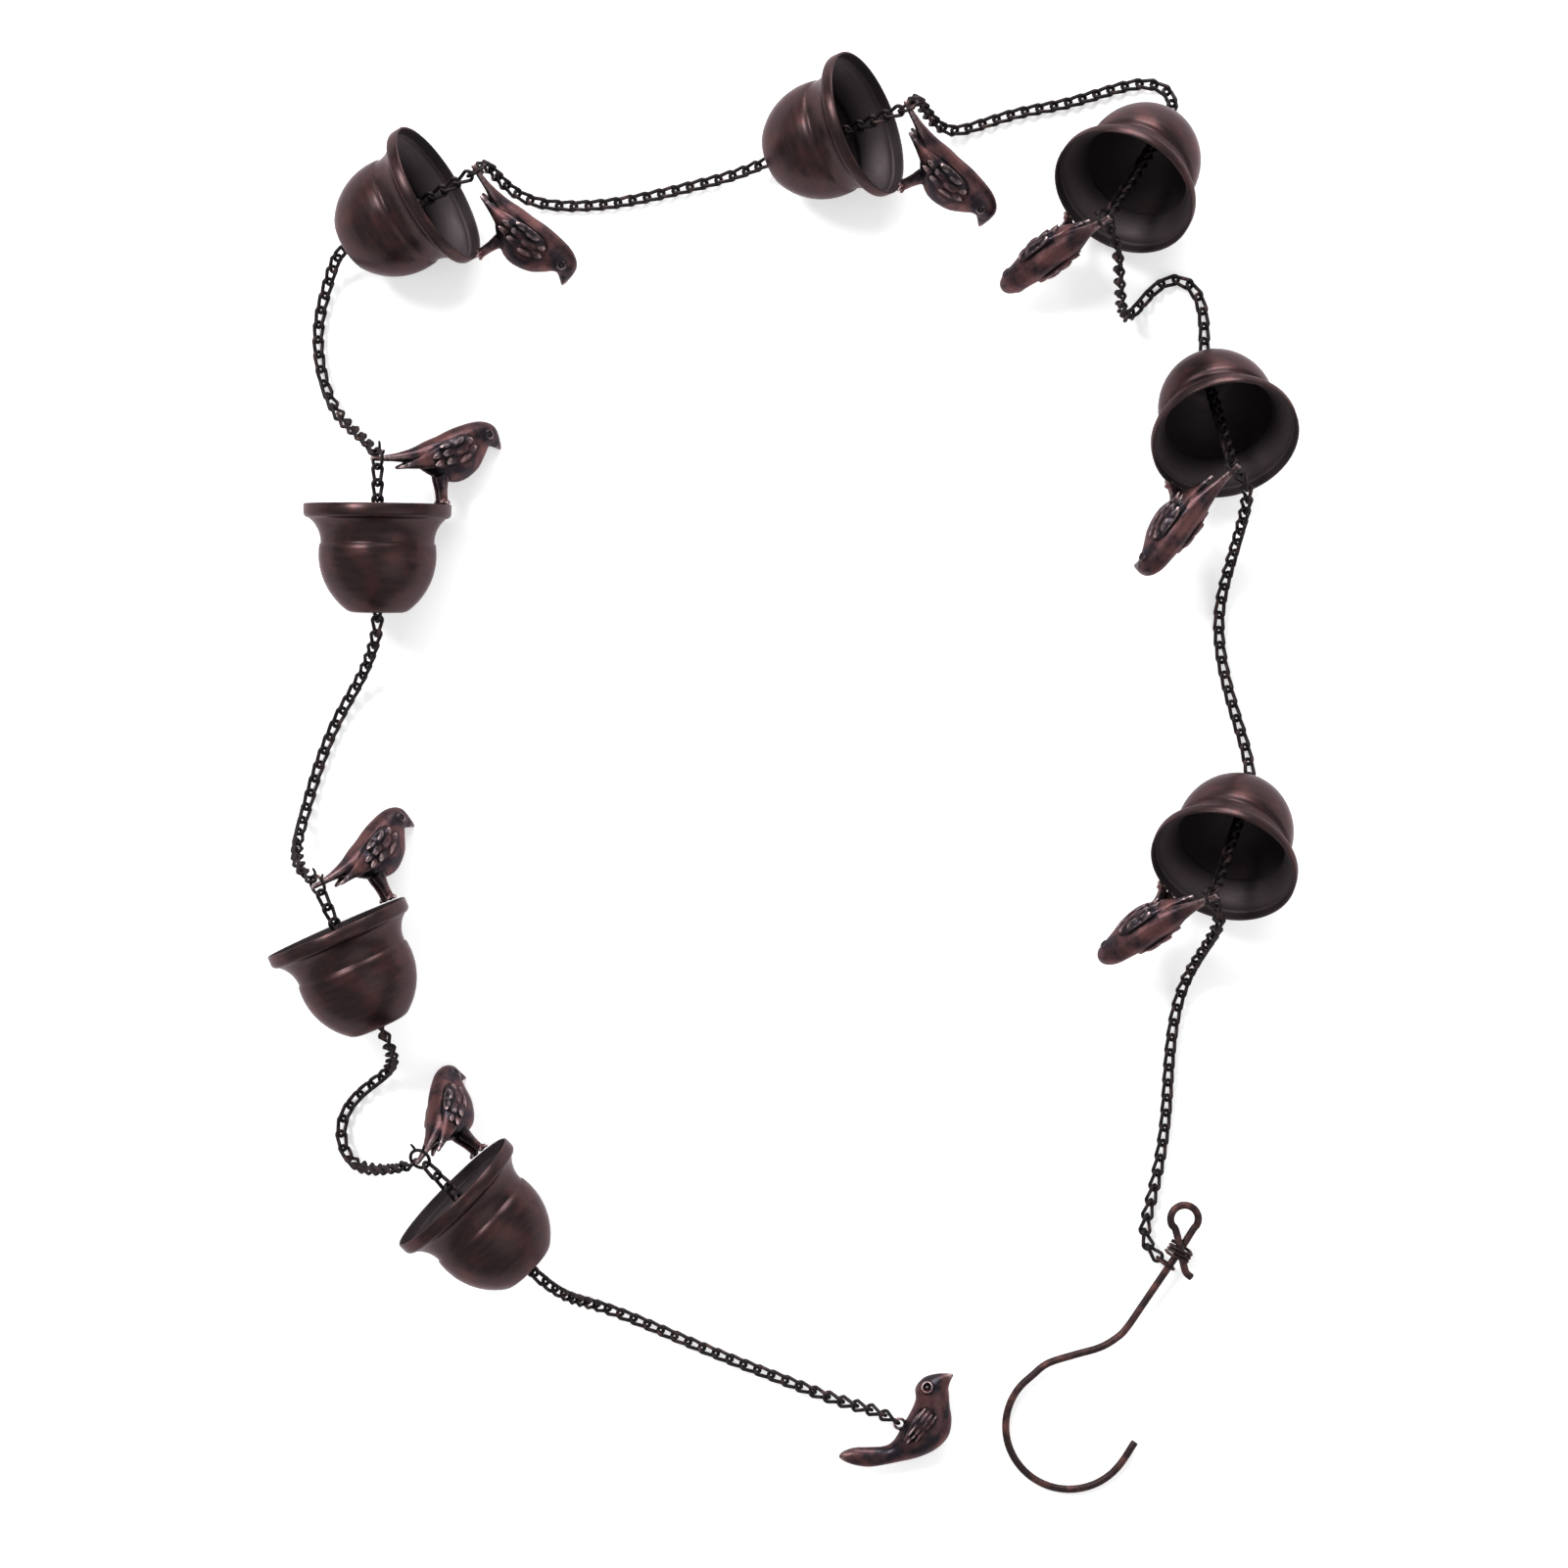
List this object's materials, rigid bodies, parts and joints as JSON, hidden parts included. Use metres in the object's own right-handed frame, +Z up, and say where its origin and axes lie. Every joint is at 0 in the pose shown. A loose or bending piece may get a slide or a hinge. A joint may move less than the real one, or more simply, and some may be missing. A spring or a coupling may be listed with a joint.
{
  "type": "rain chain",
  "caption": "Rain chain laid out flat: a wire hook, twisted-link chain, open drained cups with a cast bird perched on each rim, and a cast bird as the end weight.",
  "frame": {"origin": "on the floor under the middle of the laid outline", "axes": "+Z up from the floor, +Y along the longer side of the laid loop away from the hook, +X to the right of it seen from above"},
  "size_m": [0.571, 0.8126, 0.1056],
  "materials": {
    "cup": "satin antique bronze paint",
    "bird": "worn antique bronze paint",
    "chain": "satin dark bronze paint",
    "wire": "satin dark bronze paint"
  },
  "bodies": {
    "chain": {"hook": "wire", "hook_binding": "wire", "hook_ring": "chain", "chain_1": "chain", "chain_2": "chain", "chain_3": "chain", "chain_4": "chain", "chain_5": "chain", "chain_6": "chain", "chain_7": "chain", "chain_8": "chain", "chain_9": "chain", "tail_ring_1": "chain", "tail_ring_2": "chain", "tail_ring_3": "chain", "tail_ring_4": "chain", "tail_ring_5": "chain", "tail_ring_6": "chain", "tail_ring_7": "chain", "tail_ring_8": "chain"},
    "cup_unit_1": {"cup_1": "cup", "bird_1": "bird"},
    "cup_unit_2": {"cup_2": "cup", "bird_2": "bird"},
    "cup_unit_3": {"cup_3": "cup", "bird_3": "bird"},
    "cup_unit_4": {"cup_4": "cup", "bird_4": "bird"},
    "cup_unit_5": {"cup_5": "cup", "bird_5": "bird"},
    "cup_unit_6": {"cup_6": "cup", "bird_6": "bird"},
    "cup_unit_7": {"cup_7": "cup", "bird_7": "bird"},
    "cup_unit_8": {"cup_8": "cup", "bird_8": "bird"},
    "end_weight": {"end_bird": "bird"}
  },
  "joints": [
    {"name": "cup_swivel_1", "type": "hinge", "parent": "chain", "child": "cup_unit_1", "pos_m": [0.24311, -0.04748, 0.0535], "axis": [-0.332, -0.6516, 0.682], "range_deg": [-15, 15]},
    {"name": "cup_swivel_2", "type": "hinge", "parent": "chain", "child": "cup_unit_2", "pos_m": [0.24461, 0.18852, 0.05436], "axis": [0.0739, -0.7032, 0.7071], "range_deg": [-15, 15]},
    {"name": "cup_swivel_3", "type": "hinge", "parent": "chain", "child": "cup_unit_3", "pos_m": [0.18811, 0.32652, 0.04967], "axis": [-0.4367, -0.6989, 0.5664], "range_deg": [-15, 15]},
    {"name": "cup_swivel_4", "type": "hinge", "parent": "chain", "child": "cup_unit_4", "pos_m": [0.04711, 0.36652, 0.0461], "axis": [0.8586, 0.2381, 0.454], "range_deg": [-15, 15]},
    {"name": "cup_swivel_5", "type": "hinge", "parent": "chain", "child": "cup_unit_5", "pos_m": [-0.19239, 0.32852, 0.04116], "axis": [0.8595, 0.4192, 0.2924], "range_deg": [-15, 15]},
    {"name": "cup_swivel_6", "type": "hinge", "parent": "chain", "child": "cup_unit_6", "pos_m": [-0.22639, 0.15452, 0.04326], "axis": [0.0087, 0.9975, 0.0698], "range_deg": [-15, 0]},
    {"name": "cup_swivel_7", "type": "hinge", "parent": "chain", "child": "cup_unit_7", "pos_m": [-0.24789, -0.08048, 0.05429], "axis": [-0.3982, 0.9158, 0.0523], "range_deg": [-15, 0]},
    {"name": "cup_swivel_8", "type": "hinge", "parent": "chain", "child": "cup_unit_8", "pos_m": [-0.18239, -0.22548, 0.0648], "axis": [-0.6909, 0.7154, 0.1045], "range_deg": [-15, 0]},
    {"name": "end_bird_swing", "type": "hinge", "parent": "chain", "child": "end_weight", "pos_m": [0.0658, -0.36477, 0.01146], "axis": [0, 0, 1], "range_deg": [-25, 25]}
  ]
}
